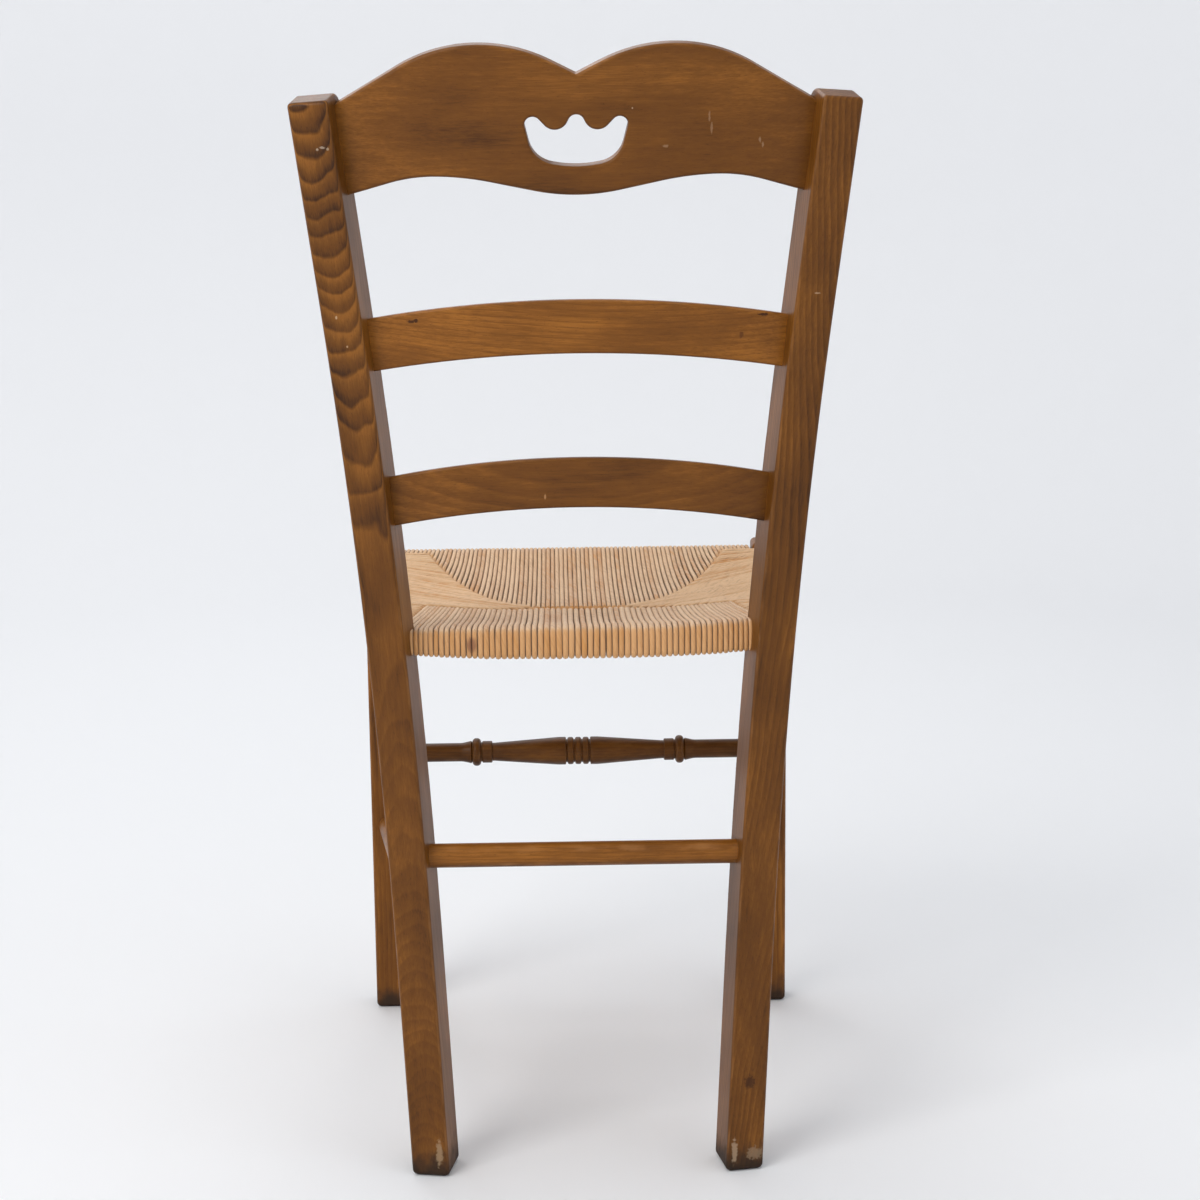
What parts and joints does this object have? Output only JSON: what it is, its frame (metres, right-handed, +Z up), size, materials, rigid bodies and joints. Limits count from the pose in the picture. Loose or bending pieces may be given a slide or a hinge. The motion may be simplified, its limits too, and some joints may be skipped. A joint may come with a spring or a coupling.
{
  "type": "ladderback chair",
  "caption": "Ladderback dining chair: square posts bent to the rear, bowed slats, a crest with a grip cut-out, round stretchers and a woven rush seat.",
  "frame": {"origin": "on the floor, under the middle of the chair's bounding box", "axes": "+Z up, the sitter faces -Y, +X is the sitter's left"},
  "size_m": [0.4306, 0.4911, 0.9203],
  "materials": {
    "stained_beech": "stained mid-brown beech, satin lacquer, worn at the feet and arrises",
    "rush": "hand-twisted rush cord, straw-coloured, matt",
    "straw_stuffing": "packed straw between the two layers of cord",
    "tack_steel": "blued steel tack"
  },
  "bodies": {
    "root": {"crest_rail": "stained_beech", "upper_slat": "stained_beech", "lower_slat": "stained_beech", "rear_seat_rail": "stained_beech", "front_seat_rail": "stained_beech", "left_seat_rail": "stained_beech", "right_seat_rail": "stained_beech", "rear_stretcher": "stained_beech", "front_stretcher": "stained_beech", "left_upper_stretcher": "stained_beech", "left_lower_stretcher": "stained_beech", "right_upper_stretcher": "stained_beech", "right_lower_stretcher": "stained_beech", "rear_post_left": "stained_beech", "rear_post_right": "stained_beech", "front_leg_left": "stained_beech", "front_leg_right": "stained_beech", "rush_panel_front": "rush", "rush_panel_rear": "rush", "rush_panel_left": "rush", "rush_panel_right": "rush", "seat_stuffing": "straw_stuffing", "cord_tacks": "tack_steel"}
  },
  "joints": []
}
